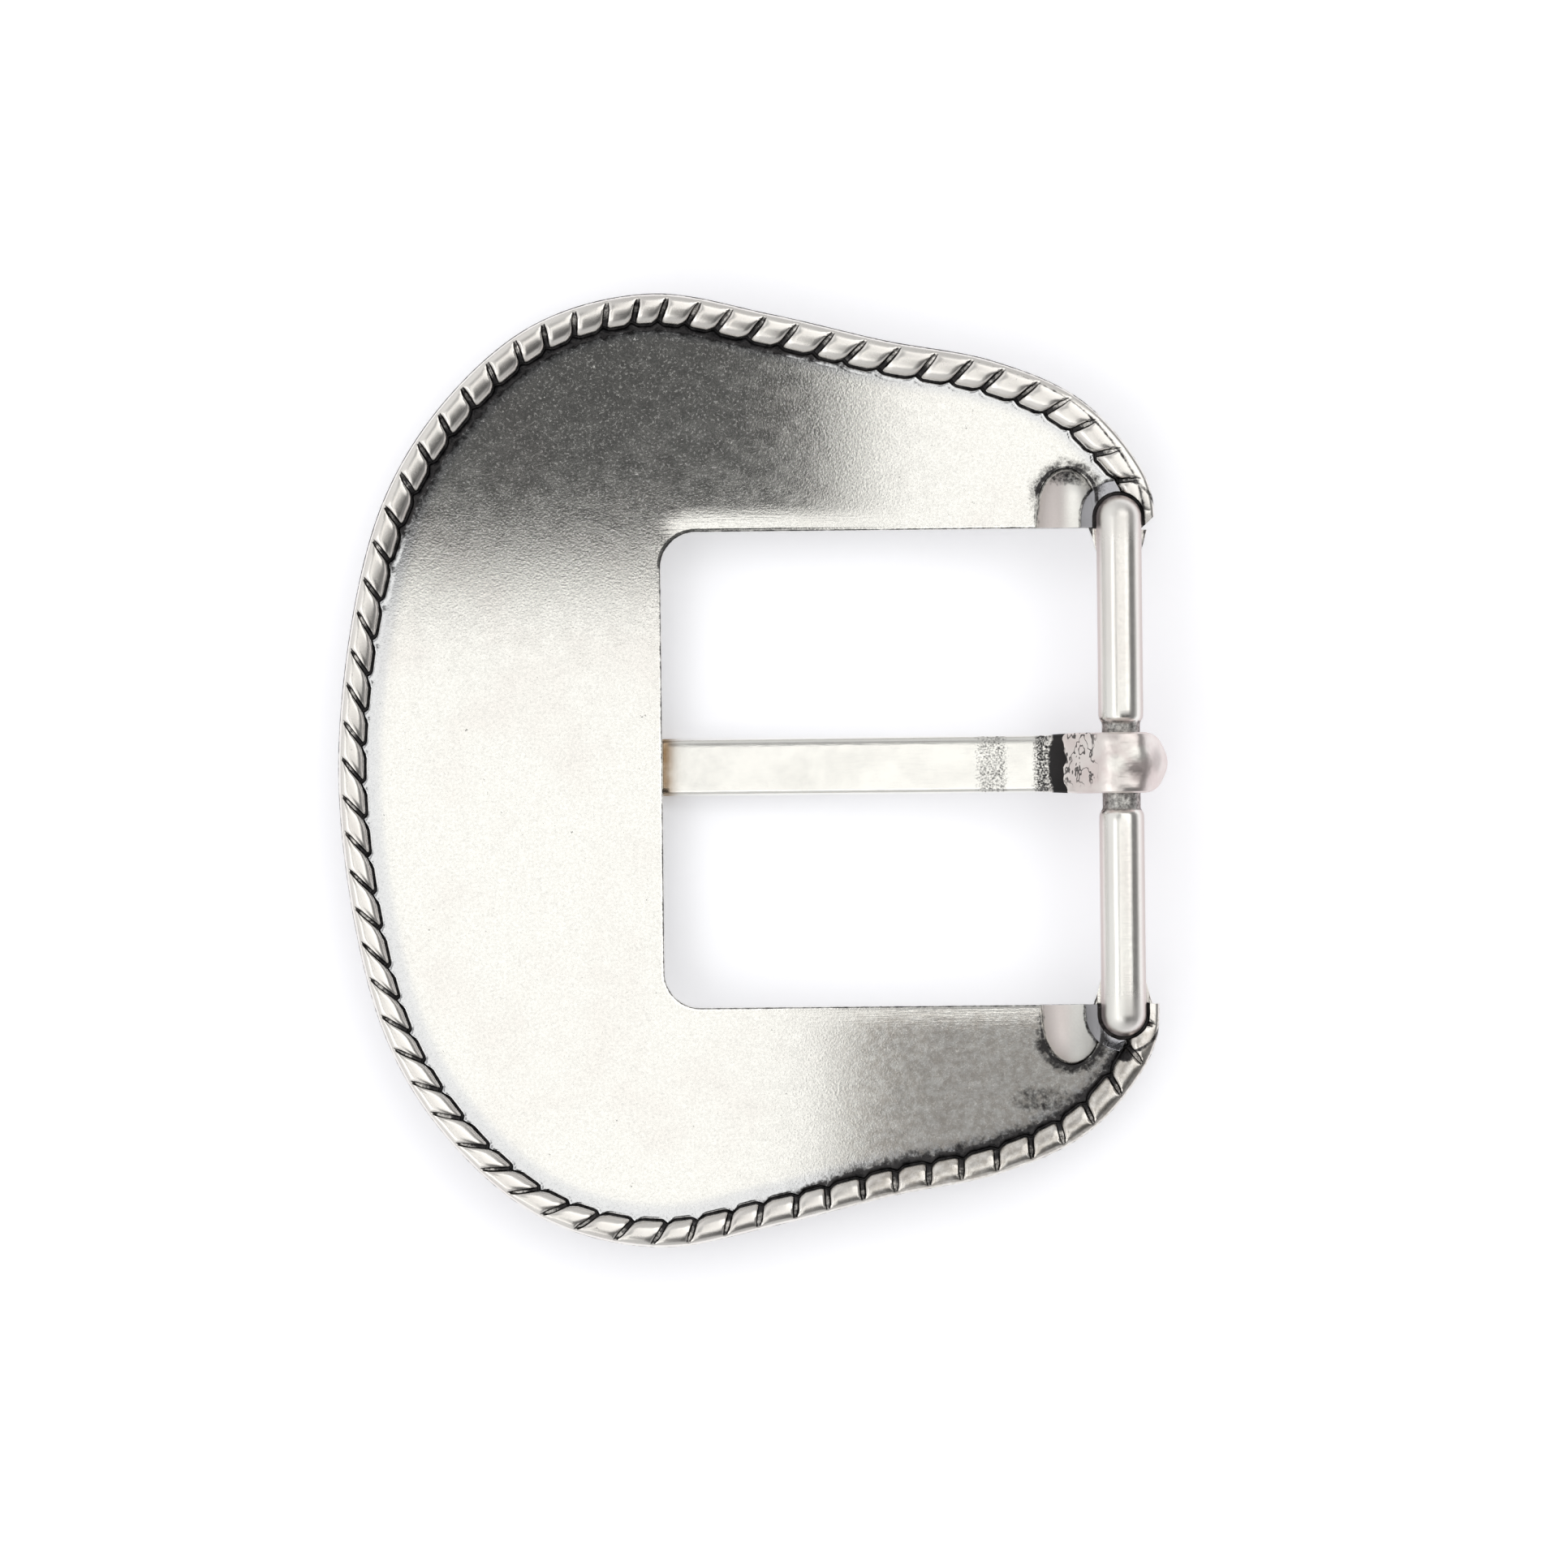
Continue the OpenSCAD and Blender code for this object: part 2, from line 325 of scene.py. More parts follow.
def window_point(x, y):
    """Point of the window's edge on the line from inside it to (x, y), and the edge's normal there."""
    middle_x = WINDOW_MIDDLE_X
    dx = x - middle_x
    dy = y
    side = np.sign(dy)
    corner_x = WINDOW_CORNER_R - WINDOW_REACH
    corner_y = WINDOW_Y - WINDOW_CORNER_R
    with np.errstate(divide="ignore", invalid="ignore"):
        straight_x = middle_x + dx * WINDOW_Y / np.abs(dy)
        far_y = dy * (-WINDOW_REACH - middle_x) / dx
    # Near the arm's end the line runs across the arm instead
    nearest_x = x - ARM_LEAN * smoothstep(ARM_START_X, ARM_FULL_X, x)
    straight_x = np.where(x > ARM_START_X, np.minimum(straight_x, nearest_x), straight_x)
    # Where the line meets the corner's circle
    ox = middle_x - corner_x
    oy = -side * corner_y
    a = dx**2 + dy**2
    b = ox * dx + oy * dy
    c = ox**2 + oy**2 - WINDOW_CORNER_R**2
    t = (-b + np.sqrt(np.maximum(b * b - a * c, 0))) / a
    on_straight = straight_x >= corner_x
    on_far = ~on_straight & (dx < 0) & (np.abs(far_y) <= corner_y)
    px = np.where(on_straight, straight_x, np.where(on_far, -WINDOW_REACH, middle_x + dx * t))
    py = np.where(on_straight, side * WINDOW_Y, np.where(on_far, far_y, dy * t))
    nx = np.where(on_straight, 0.0, np.where(on_far, -1.0, (px - corner_x) / WINDOW_CORNER_R))
    ny = np.where(on_straight, side, np.where(on_far, 0.0, (py - side * corner_y) / WINDOW_CORNER_R))
    return px, py, nx, ny


def along(table, share):
    """Value from a table of (share of the way along the edge, value) pairs."""
    return np.interp(share, *zip(*table))


class Strands:
    """The cuts between the rope's strands, a little uneven as on a hand-cut model."""

    def __init__(self):
        shares = np.linspace(0, 1, 2001)
        pitches = along(STRAND_PITCHES, (shares[1:] + shares[:-1]) / 2)
        turns = np.concatenate([[0], np.cumsum(1 / pitches)])
        self.s = []
        self.lean = []
        self.depth = []
        for i in range(STRANDS):
            turn = (i + 0.5 + rng.uniform(-0.05, 0.05)) / STRANDS
            share = np.interp(turn * turns[-1], turns, shares)
            slant = along(STRAND_SLANTS, share) + rng.uniform(-3, 3)
            self.s.append(share * edge.length)
            self.lean.append(math.tan(math.radians(slant)))
            self.depth.append(rng.uniform(0.85, 1.0))

    def shift(self, s, w, width):
        """How far a line across the rope at s has moved along the edge at w."""
        lean = np.interp(s, self.s, self.lean)
        ends = smoothstep(0, 3, s) * smoothstep(0, 3, edge.length - s)
        return lean * ends * (np.clip(w, CUT_START, width) - width / 2)


strands = Strands()

# Points across one side of a cut: share of the cut's half width, distance beyond it, and how
# much of the pad's height is reached there
CUT_STEPS = [(0.7, 0, 0.0), (1, 0, 0.15), (1, 0.06, 0.55), (1, 0.16, 0.84), (1, 0.36, 0.96)]


def corner(distance, radius, depth):
    """How far a pad's rounded inner corner draws back at a distance from the cut beside it."""
    return depth * max(0.0, 1 - distance / radius) ** 2


def stations():
    """Lines across the casting: s, share of the cut's half width, distance beyond, crown, draw-back."""
    rows = [(0.0, 0, 0, 1.0, 0.0)]
    for i, s in enumerate(strands.s):
        floor = 1 - strands.depth[i]
        for share, beyond, crown in reversed(CUT_STEPS):
            rows.append((s, -share, -beyond, max(crown, floor), corner(beyond, *CORNER_BEFORE)))
        rows.append((s, 0, 0, floor, CUT_DRAWN))
        for share, beyond, crown in CUT_STEPS:
            drawn = min(corner(beyond, *CORNER_AFTER), CUT_DRAWN + CORNER_STEP * share)
            rows.append((s, share, beyond, max(crown, floor), drawn))
        last = i == STRANDS - 1
        gap = (edge.length - s) * 2 if last else strands.s[i + 1] - s
        for share in (0.3, 0.5, 0.7):
            if not (last and share >= 0.5):
                rows.append((s + share * gap, 0, 0, 1.0 if share == 0.5 else 0.99, 0.0))
    rows.append((edge.length, 0, 0, 1.0, 0.0))
    return np.array(rows)


# Across the rim, from the plate out to the edge, where the rope's inner end is at PAD_END
RIM = np.array([
    RIM_END, 4.1, 3.8, 3.55, CREASE_END, 3.2, 3.1, 3.03, 2.96, PAD_END, 2.84, 2.76, 2.64, 2.45, 2.2, 1.9,
    1.6, 1.3, 1.0, 0.8, 0.62, 0.46, 0.3, 0.18, 0.09, 0.03, 0.0,
])


def rim_heights(q, crown):
    """Height of the rim over the plate's surface at q, where crown is 1 on a pad, 0 in a cut."""
    crease = np.interp(
        q, [PAD_END, 2.96, 3.03, 3.1, 3.2, CREASE_END], [CREASE_Z, CREASE_Z, -0.2, -0.12, -0.03, 0.0]
    )
    outer = WALL_TOP + (PAD_TOP - WALL_TOP) * np.sqrt(1 - np.clip(1 - q / PAD_MIDDLE, 0, 1) ** 2.6)
    t = np.clip((q - PAD_MIDDLE) / (PAD_END - PAD_MIDDLE), 0, 1)
    inner = CREASE_Z + (PAD_TOP - CREASE_Z) * (1 - t**2.8) ** 0.5
    pad = np.where(q < PAD_MIDDLE, outer, inner)
    cut = smoothstep(CUT_START, CUT_FULL, q) * (1 - crown)
    floor = np.minimum(pad, CUT_FLOOR)
    rope = pad - (pad - floor) * cut
    return np.where(q > PAD_END, crease, rope)


# Points across the plate, as shares of the way from the window to the rim
PLATE_SHARES = [0.0, 0.008, 0.04, 0.08, 0.13, 0.19, 0.27, 0.37, 0.5, 0.65, 0.82]
EDGE_ROUND = 0.25
# How dark the window's wall and rounded edge are
WINDOW_DIRT = [0.2, 0.74]
# Widths beside the window that filing has levelled, and has marked
FILED_W = 1.7
FILE_MARKS_W = 2.2


def rim_dirt(q, w, way, crown, scale, side):
    """How dark the rim is: in the cuts and the crease, beside the rope, on the wall and the lip."""
    floor_dark = 0.55 + 0.3 * smoothstep(1.2, 2.6, q)
    lines = np.interp(crown, [0.15, 0.2, 0.6, 0.9], [0, 0.95, 0.85, 0])
    lines = np.where(crown < 0.16, floor_dark, lines)
    in_cut = smoothstep(CUT_START, 0.5, q) * (q < 2.95) * lines
    in_crease = np.interp(q, [2.8, PAD_END, 3.03, 3.15], [0, 0.9, 0.9, 0]) + 0 * w
    beside_dirt = along(RIM_DIRT, way)
    if side < 0:
        beside_dirt = 0.3 + 0 * way
    reach = 0.25 + 0.45 * beside_dirt
    beside = beside_dirt * smoothstep(0, 1, 1.25 - (w - 3.0 * scale) / reach) * (q > 3.0)
    haze = 0.62 * smoothstep(0.5, 0.95, beside_dirt) * smoothstep(4.5, 2.6, w) * (q > 3.0)
    on_lip = along(LIP_DIRT, way) * np.interp(q, [0.3, 0.4, 0.5, 0.62], [0, 1, 1, 0])
    on_wall = along(WALL_DIRT, way) * np.interp(q, [0, 0.03, 0.09, 0.16], [0.12, 1, 1, 0])
    if side < 0:
        on_wall = 0.4 * on_wall
    dark = in_cut
    for part in (in_crease, beside, haze, on_wall, on_lip):
        dark = np.maximum(dark, part)
    return dark


def casting_side(rows, side):
    """Points and values from the window's edge out to the outer edge, on the side +1 or -1."""
    s0, share, beyond, crown, drawn = (rows[:, i : i + 1] for i in range(5))
    q = RIM[None, :]
    way = s0 / edge.length
    scale = along(ROPE_WIDTHS, way) / PAD_END
    plate_scale = (RIM_END - CREASE_END * scale) / (RIM_END - CREASE_END)
    w = np.where(q <= CREASE_END, q * scale, CREASE_END * scale + (q - CREASE_END) * plate_scale)
    w = w - drawn * smoothstep(1.3, 2.9, q) * smoothstep(4.1, 3.2, q)
    w = w + along(LIP_WIDTHS, way) * smoothstep(0.1, 0.6, q) * smoothstep(2.9, 1.0, q)
    half_cut = CUT_HALF_OUTER + (CUT_HALF_INNER - CUT_HALF_OUTER) * smoothstep(CUT_START, 1.2, q)
    line = s0 + share * half_cut + beyond
    s = np.clip(line + strands.shift(line, w, PAD_END * scale), 0, edge.length)
    surface = hollow_z if side > 0 else front_z
    rim_x, rim_y = edge.at(s, w)
    rise = rim_heights(q, crown)
    rim_z = surface(rim_x, rim_y) + side * rise

    edge_x, edge_y = edge.at(s[:, :1], 0)
    px, py, nx, ny = window_point(edge_x, edge_y)
    start_x = px + EDGE_ROUND * nx
    start_y = py + EDGE_ROUND * ny
    shares = np.array(PLATE_SHARES)[None, :]
    plate_x = start_x + shares * (rim_x[:, :1] - start_x)
    plate_y = start_y + shares * (rim_y[:, :1] - start_y)
    from_window = np.abs((plate_x - px) * nx + (plate_y - py) * ny)
    slope = nx * (px - DISH_X) / DISH_R + ny * py / DISH_R
    levelled = side * slope * np.clip(FILED_W - from_window, 0, None) ** 2 / (2 * FILED_W)
    # The lower arm is filed less, and the window's corners and the front not at all
    levelled = levelled * np.where(plate_y < 0, 0.2, 1.0) * (side > 0)
    levelled = levelled * smoothstep(0.6, 0.95, np.abs(ny))
    plate_z = surface(plate_x, plate_y) + levelled

    round_x = np.hstack([px, px + 0.3 * EDGE_ROUND * nx])
    round_y = np.hstack([py, py + 0.3 * EDGE_ROUND * ny])
    top = plate_z[:, :1]
    round_z = np.hstack([top - side * EDGE_ROUND, top - side * 0.3 * EDGE_ROUND])

    x = np.hstack([round_x, plate_x, rim_x])
    y = np.hstack([round_y, plate_y, rim_y])
    z = np.hstack([round_z, plate_z, rim_z])

    filed = np.clip(1 - from_window / FILE_MARKS_W, 0, 1)
    flat = np.zeros_like(round_x)
    none = np.zeros_like(rim_x)
    marks = np.hstack([flat + 1, filed, none])
    straight = np.abs(ny) > 0.7
    dark = rim_dirt(q, w, way, crown, scale, side)
    plain = np.zeros_like(plate_x)
    beside_rope = smoothstep(4.1, 3.0, w) * (q > PAD_END) * (side > 0)
    values = {
        "patina_and_shade": np.hstack([flat + WINDOW_DIRT, plain, dark]),
        "rope": np.hstack([flat, plain, np.interp(q, [PAD_END, 3.2], [1, 0]) + 0 * s]),
        "beside_rope": np.hstack([flat, plain, beside_rope]),
        "filed_x": marks * straight,
        "filed_y": marks * ~straight,
    }
    return np.stack([x, y, z], axis=2), values


def casting_loft():
    """The dished and roped casting, without its seats."""
    rows = stations()
    back, back_values = casting_side(rows, 1)
    front, front_values = casting_side(rows, -1)
    outer_wall = (back[:, -1:] + front[:, -1:]) / 2
    window_wall = (back[:, :1] + front[:, :1]) / 2
    rings = np.concatenate([back, outer_wall, front[:, ::-1], window_wall], axis=1)
    values = {}
    for key, b in back_values.items():
        values[key] = np.hstack([b, b[:, -1:], front_values[key][:, ::-1], b[:, :1]])
    return tube("casting", rings, values)


# The seats at the arms' ends: the land round the bar's end, the slot and groove that the bar lies
# in, the lump beside it, and the saddle that carries on under the bar
LAND_Z = -0.2
LAND_R = 3.2
SEAT_Z = -3.25
GROOVE_R = 2.2
GROOVE_Z = -1.0
SLOT_R = 1.92
LUMP_X = -4.3
LUMP_Z = -1.4
SADDLE_Z = -0.9
LAND_LIP_W = 2.5


def keep_within_edge(points, w):
    """Points moved inwards where they are nearer to the outer edge than w."""
    moved = []
    for p in points:
        away = np.linalg.norm(edge.points - p, axis=1)
        i = int(np.argmin(away))
        inside = float(np.dot(p - edge.points[i], edge.inwards[i]))
        moved.append(p if inside >= w else edge.points[i] + w * edge.inwards[i])
    return np.array(moved)


def seat_outline(side):
    """Outline of the land round one bar end, anticlockwise."""
    start = 20.03
    arc = [
        (LAND_R * math.cos(a), BAR_END_Y + LAND_R * math.sin(a))
        for a in np.linspace(0, math.pi, 60)
    ]
    right = [(LAND_R, y) for y in np.linspace(start, BAR_END_Y, 6, endpoint=False)]
    left = [(-LAND_R, y) for y in np.linspace(BAR_END_Y, start, 6)[1:]]
    points = keep_within_edge(np.array(right + arc + left), LAND_LIP_W)
    return points if side > 0 else (points * (1, -1))[::-1]


# Turned shape of the lumps, as (y, radius) pairs, and how far they are squashed flat
LUMP_SHAPE = [
    (20.02, 2.75), (21.0, 2.68), (22.0, 2.55), (22.8, 2.4), (23.5, 2.15), (24.1, 1.8), (24.6, 1.35),
    (24.95, 0.85), (25.15, 0.4), (25.2, 0.02),
]
LUMP_STRETCH = (1.0, 0.84)


def ball_profile(start, end, r, steps=16):
    """(y, radius) pairs of a rod from start, with a round end at end."""
    ball = [(end + r * math.sin(a), r * math.cos(a)) for a in np.linspace(0, math.pi / 2, steps)]
    ball[-1] = (ball[-1][0], 0.02)
    return [(start, r)] + ball


def saddle_outline(side):
    """Outline of the shelf that runs from an arm into the window, under the bar."""
    half = [(2.9, 20.4), (2.5, 20.0), (2.15, 18.9), (1.9, 18.0), (1.1, 17.5)]
    points = half + [(-x, y) for x, y in reversed(half)]
    points = np.array(points)
    return points[::-1] if side > 0 else points * (1, -1)


def land_stadium(r):
    """Outline round the whole bar, r from its axis."""
    arc = [(r * math.cos(a), BAR_END_Y + r * math.sin(a)) for a in np.linspace(0, math.pi, 48)]
    return np.array(arc + [(-x, -y) for x, y in arc])


def casting():
    """The loft with a land, a lump and a saddle added at each arm's end, and the bar's slot cut."""
    body = casting_loft()
    original = body.data.copy()
    added = []
    for side in (1, -1):
        added.append(prism("land", seat_outline(side), SEAT_Z, LAND_Z, 0.12))
        profile = [(side * y, r) for y, r in LUMP_SHAPE]
        lump = lathe("lump", profile, 72, (LUMP_X, LUMP_Z), LUMP_STRETCH)
        boolean(lump, [prism("press", land_stadium(LAND_R), LAND_Z + 0.02, 6.0, 0.05)], "DIFFERENCE")
        added.append(lump)
        added.append(prism("saddle", saddle_outline(side), SEAT_Z, SADDLE_Z, 0.2))
    boolean(body, added, "UNION")
    end = ball_profile(0, BAR_END_Y, SLOT_R)
    slot = [(-y, r) for y, r in reversed(end)] + end[1:]
    bevel = np.array([(3.4, 19.8), (3.4, 21.3), (1.8, 19.8)])
    cut = [
        lathe("slot", slot, 72),
        prism("groove", land_stadium(GROOVE_R), GROOVE_Z, 6.0, 0.05),
        prism("bevel", bevel, -6.0, 6.0, 0.05),
    ]
    boolean(body, cut, "DIFFERENCE")
    carry_values(original, body.data)
    mark_land(body.data)
    bpy.data.meshes.remove(original)
    smooth(body, 40)
    return body


def inside(points, outline):
    """Which of the points lie inside a closed outline."""
    x, y = points[:, :1], points[:, 1:2]
    x0, y0 = outline.T
    x1, y1 = np.roll(outline, -1, axis=0).T
    with np.errstate(divide="ignore", invalid="ignore"):
        crossing = x0 + (y - y0) * (x1 - x0) / (y1 - y0)
    hits = ((y0 > y) != (y1 > y)) & (x < crossing)
    return hits.sum(axis=1) % 2 == 1


def mark_land(mesh):
    """Gives the lands their own value in place of the rope's."""
    points = np.empty(len(mesh.vertices) * 3)
    mesh.vertices.foreach_get("co", points)
    points = points.reshape(-1, 3) / MM
    on_land = np.zeros(len(points), bool)
    for side in (1, -1):
        outline = offset_outline(seat_outline(side), 0.02)
        on_land |= inside(points, outline) & (np.abs(points[:, 2] - LAND_Z) < 0.15)
    mesh.attributes.new("land", "FLOAT", "POINT").data.foreach_set("value", on_land.astype(np.float32))
    for name in ("rope", "patina_and_shade"):
        data = np.empty(len(points), np.float32)
        mesh.attributes[name].data.foreach_get("value", data)
        data[on_land] = 0
        mesh.attributes[name].data.foreach_set("value", data)


def carry_values(source, target):
    """Copies each point's values from the nearest point of the mesh before it was cut."""
    tree = KDTree(len(source.vertices))
    for v in source.vertices:
        tree.insert(v.co, v.index)
    tree.balance()
    found = [tree.find(v.co)[1] for v in target.vertices]
    for attribute in list(source.attributes):
        if attribute.data_type != "FLOAT" or attribute.domain != "POINT":
            continue
        data = np.zeros(len(source.vertices), np.float32)
        attribute.data.foreach_get("value", data)
        name = attribute.name
        if name in target.attributes:
            target.attributes.remove(target.attributes[name])
        made = target.attributes.new(name, "FLOAT", "POINT")
        made.data.foreach_set("value", data[found])


# ================================================================ the bar


def strap_bar():
    """Turned bar with round ends and a narrower neck in its middle."""
    half = [
        (0.0, NECK_R), (NECK_L / 2 - 0.25, NECK_R), (NECK_L / 2 - 0.08, NECK_R + 0.02),
        (NECK_L / 2, NECK_R + 0.08), (NECK_L / 2 + 0.1, BAR_R - 0.16), (NECK_L / 2 + 0.25, BAR_R - 0.06),
        (NECK_L / 2 + SHOULDER_L + 0.1, BAR_R - 0.01), (NECK_L / 2 + 1.0, BAR_R),
    ]
    half += [(y, BAR_R) for y in np.linspace(5.5, BAR_END_Y, 10)[:-1]]
    half += ball_profile(0, BAR_END_Y, BAR_R)[1:]
    whole = [(-y, r) for y, r in reversed(half)] + half[1:]
    bar = lathe("strap_bar_turned", whole, 96)
    smooth(bar, 40)
    return bar


# ================================================================ the tongue


def tongue_path():
    """Middle line of the strip in x and z with its heading, from the hook's end to the tip."""
    middle_r = EYE_R + TONGUE_T / 2
    contact_x = -WINDOW_REACH
    contact_z = DISH_Z - math.sqrt((DISH_R + PLATE_T) ** 2 - (contact_x - DISH_X) ** 2) - 0.1
    front_tilt = math.asin((DISH_X - contact_x) / (DISH_R + PLATE_T))
    drop = math.atan2(-EYE_R - contact_z, WINDOW_REACH - LEVEL_L)
    slope_l = (WINDOW_REACH - LEVEL_L) / math.cos(drop) - BEND_R * math.sin(drop)

    def walk(turns, step, x, z, heading):
        """Points along straight and bent pieces, each a length and a total turn."""
        out = [(x, z, heading)]
        for length, turn in turns:
            count = max(1, round(length / step))
            for _ in range(count):
                heading += turn / count / 2
                x += length / count * math.cos(heading)
                z += length / count * math.sin(heading)
                heading += turn / count / 2
                out.append((x, z, heading))
        return out

    hook = walk([(middle_r * HOOK_ANGLE, HOOK_ANGLE), (HOOK_L, 0)], 0.16, 0, -middle_r, 0)
    strip = walk(
        [
            (LEVEL_L, 0), (BEND_R * drop, drop), (slope_l, 0),
            (BEND_R * (drop + front_tilt), -drop - front_tilt), (TIP_OVERLAP + 1, 0),
        ],
        0.3, 0, -middle_r, math.pi,
    )
    back = [(x, z, h + math.pi) for x, z, h in reversed(hook)]
    return np.array(back[:-1] + strip)


# A quarter of the strip's section, as shares of its half width and half thickness: the rounded
# edge, then points along the flat. Half of the section is made from it, starting in the -Y edge
SECTION_ROUND = [(1.0, 0.5), (0.985, 0.68), (0.94, 0.86), (0.88, 0.96)]
SECTION_QUARTER = SECTION_ROUND + [(across, 1.0) for across in (0.8, 0.66, 0.53, 0.4, 0.27, 0.13)]
SECTION = [(-1.0, 0.0)] + [(-x, z) for x, z in SECTION_QUARTER] + [(0.0, 1.0)] + SECTION_QUARTER[::-1]
# Dents and bumps left by the pliers on the hook: distance along the strip, y, size and depth
DENTS = [
    (1.2, 1.2, 0.9, -0.1), (1.0, -1.3, 0.8, -0.08), (4.5, -0.1, 0.8, 0.06), (6.0, 0.8, 0.7, 0.06),
    (5.8, -1.0, 0.6, -0.1), (7.4, 0.3, 0.6, -0.08), (3.0, 0.9, 0.8, -0.05),
]
# Room left for the bumps over the hook
BUMP_ROOM = 0.065
# The hook's looks and width fade into the strip's between these two x
STRIP_X = -7.0
HOOK_X = -3.0
TIP_MIDDLE_X = -WINDOW_REACH - TIP_OVERLAP + TONGUE_W / 2
# x where a painted shadow darkens the strip before it goes under the hook's end, faintly and then
# fully, with how far that band is bowed across the strip. The bend under the bar, at this distance
# along, is clean
FAINT_BAND = (-7.2, -5.9)
DEEP_BAND = (-5.75, -5.5)
BAND_BOW = 0.35
CLEAN_BEND = 15
CLEAN_HALF_L = 3
# x and half width of the brown painted shade on the strip where it bends under the window's edge
EDGE_SHADE_X = -38.2
EDGE_SHADE_W = 0.8


def strip_half_width(x, hub):
    """Half of the strip's width, which is rounded off at the outer bend and at the tip."""
    half_w = TONGUE_W / 2 * (0.93 + 0.05 * hub)
    half_w *= math.sqrt(1 - 0.62 * max(0.0, (x - 1.2) / 1.75) ** 4)
    beyond = TIP_MIDDLE_X - x
    if beyond > 0:
        half_w *= math.sqrt(max(0.0, 1 - (beyond / (TONGUE_W / 2)) ** 2))
    return half_w


def strip_half_thickness(x, at):
    """Half of the strip's thickness, which is less towards the tip and at the hook's cut end."""
    half_t = TONGUE_T / 2 * (1 - 0.12 * ramp(0, 8, -WINDOW_REACH - x))
    return half_t * (0.86 + 0.14 * ramp(0, 1.2, at))


def hook_marks(x, y, at, share_t, hub):
    """How far wear and the pliers have moved the strip's outer side."""
    # The outer bend is worn round from side to side
    lift = 0.4 * ramp(0.2, 1.7, abs(y)) * ramp(0.9, 2.6, x)
    if share_t < -0.9:
        lift += BUMP_ROOM * hub
        for d_at, d_y, size, depth in DENTS:
            lift -= depth * math.exp(-(((at - d_at) ** 2 + (y - d_y) ** 2) / size**2))
    return lift


def strip_shade(x, y, z, at):
    """How dark the painted shadow on the strip is at a point just before the hook's end."""
    if z >= 0 or abs(at - CLEAN_BEND) <= CLEAN_HALF_L:
        return 0.0
    bow = BAND_BOW * (1 - (2 * y / TONGUE_W) ** 2)
    faint, deep = (ramp(low - bow, high - bow, x) for low, high in (FAINT_BAND, DEEP_BAND))
    return (0.35 * faint + 0.65 * deep) * (1 - 0.7 * ramp(-3.5, -1.5, x))


def tongue():
    """Strip bent into a hook round the bar, with a round tip that lies on the window's far edge."""
    path = tongue_path()
    walked = np.concatenate([[0], np.cumsum(np.hypot(np.diff(path[:, 0]), np.diff(path[:, 1])))])
    section = SECTION + [(x, -z) for x, z in reversed(SECTION[1:])]
    rings = []
    values = {"patina_and_shade": [], "edge_shade": [], "hub": []}
    for (x, z, heading), at in zip(path, walked):
        if x <= TIP_MIDDLE_X - TONGUE_W / 2 + 0.06:
            continue
        # Up on the strip's side in view, which is the hook's inner side
        up = np.array([math.sin(heading), 0, -math.cos(heading)])
        ahead = np.array([math.cos(heading), 0, math.sin(heading)])
        hub = ramp(STRIP_X, HOOK_X, x)
        half_w = strip_half_width(x, hub)
        half_t = strip_half_thickness(x, at)
        ring = []
        for share_w, share_t in section:
            y = half_w * share_w
            lift = half_t * share_t
            if share_t < 0:
                lift += hook_marks(x, y, at, share_t, hub)
            # The hook's cut end is ragged
            ragged = 0.16 * math.sin(2.3 * y + 0.6) + 0.1 * math.sin(5.1 * y)
            ragged *= 1 - ramp(0, 1.5, at)
            ring.append(np.array([x, y + TONGUE_SHIFT, z]) + up * lift + ahead * ragged)
            # Painted shadow under the hook's end
            values["patina_and_shade"].append(strip_shade(x, y, z, at))
            # Brown painted shade where the strip bends under the window's edge
            values["edge_shade"].append(math.exp(-(((x - EDGE_SHADE_X) / EDGE_SHADE_W) ** 2)))
            values["hub"].append(hub)
        rings.append(ring)
    values = {key: np.array(data) for key, data in values.items()}
    piece = tube("tongue_strip", np.array(rings), values)
    smooth(piece, 40)
    return piece


# ================================================================ materials


class Nodes:
    """Short calls for building the nodes of a material or of the room."""

    def __init__(self, owner):
        owner.use_nodes = True
        self.tree = owner.node_tree
        self.tree.nodes.clear()

    def node(self, kind, inputs=None, **settings):
        made = self.tree.nodes.new(kind)
        for key, value in settings.items():
            setattr(made, key, value)
        for key, value in (inputs or {}).items():
            self.put(made.inputs[key], value)
        return made

    def put(self, socket, value):
        """Links a socket, or sets it to a plain value."""
        if isinstance(value, bpy.types.NodeSocket):
            self.tree.links.new(value, socket)
        else:
            socket.default_value = value

    def math(self, operation, *terms):
        return self.node("ShaderNodeMath", dict(enumerate(terms)), operation=operation).outputs[0]

    def chain(self, operation, terms):
        """One operation over some terms, from the first to the last."""
        found = terms[0]
        for term in terms[1:]:
            found = self.math(operation, found, term)
        return found

    def add(self, *terms):
        return self.chain("ADD", terms)

    def times(self, *terms):
        return self.chain("MULTIPLY", terms)

    def most(self, *terms):
        """The greatest of some values."""
        return self.chain("MAXIMUM", terms)

    def minus(self, a, b):
        return self.math("SUBTRACT", a, b)

    def rest(self, share):
        """What a share leaves of 1."""
        return self.minus(1.0, share)

    def spread(self, value, low, high, to_low=0.0, to_high=1.0):
        """Value taken from the range low to high, smoothly, to another range."""
        made = self.node(
            "ShaderNodeMapRange",
            {"Value": value, "From Min": low, "From Max": high, "To Min": to_low, "To Max": to_high},
            interpolation_type="SMOOTHSTEP",
        )
        return made.outputs["Result"]


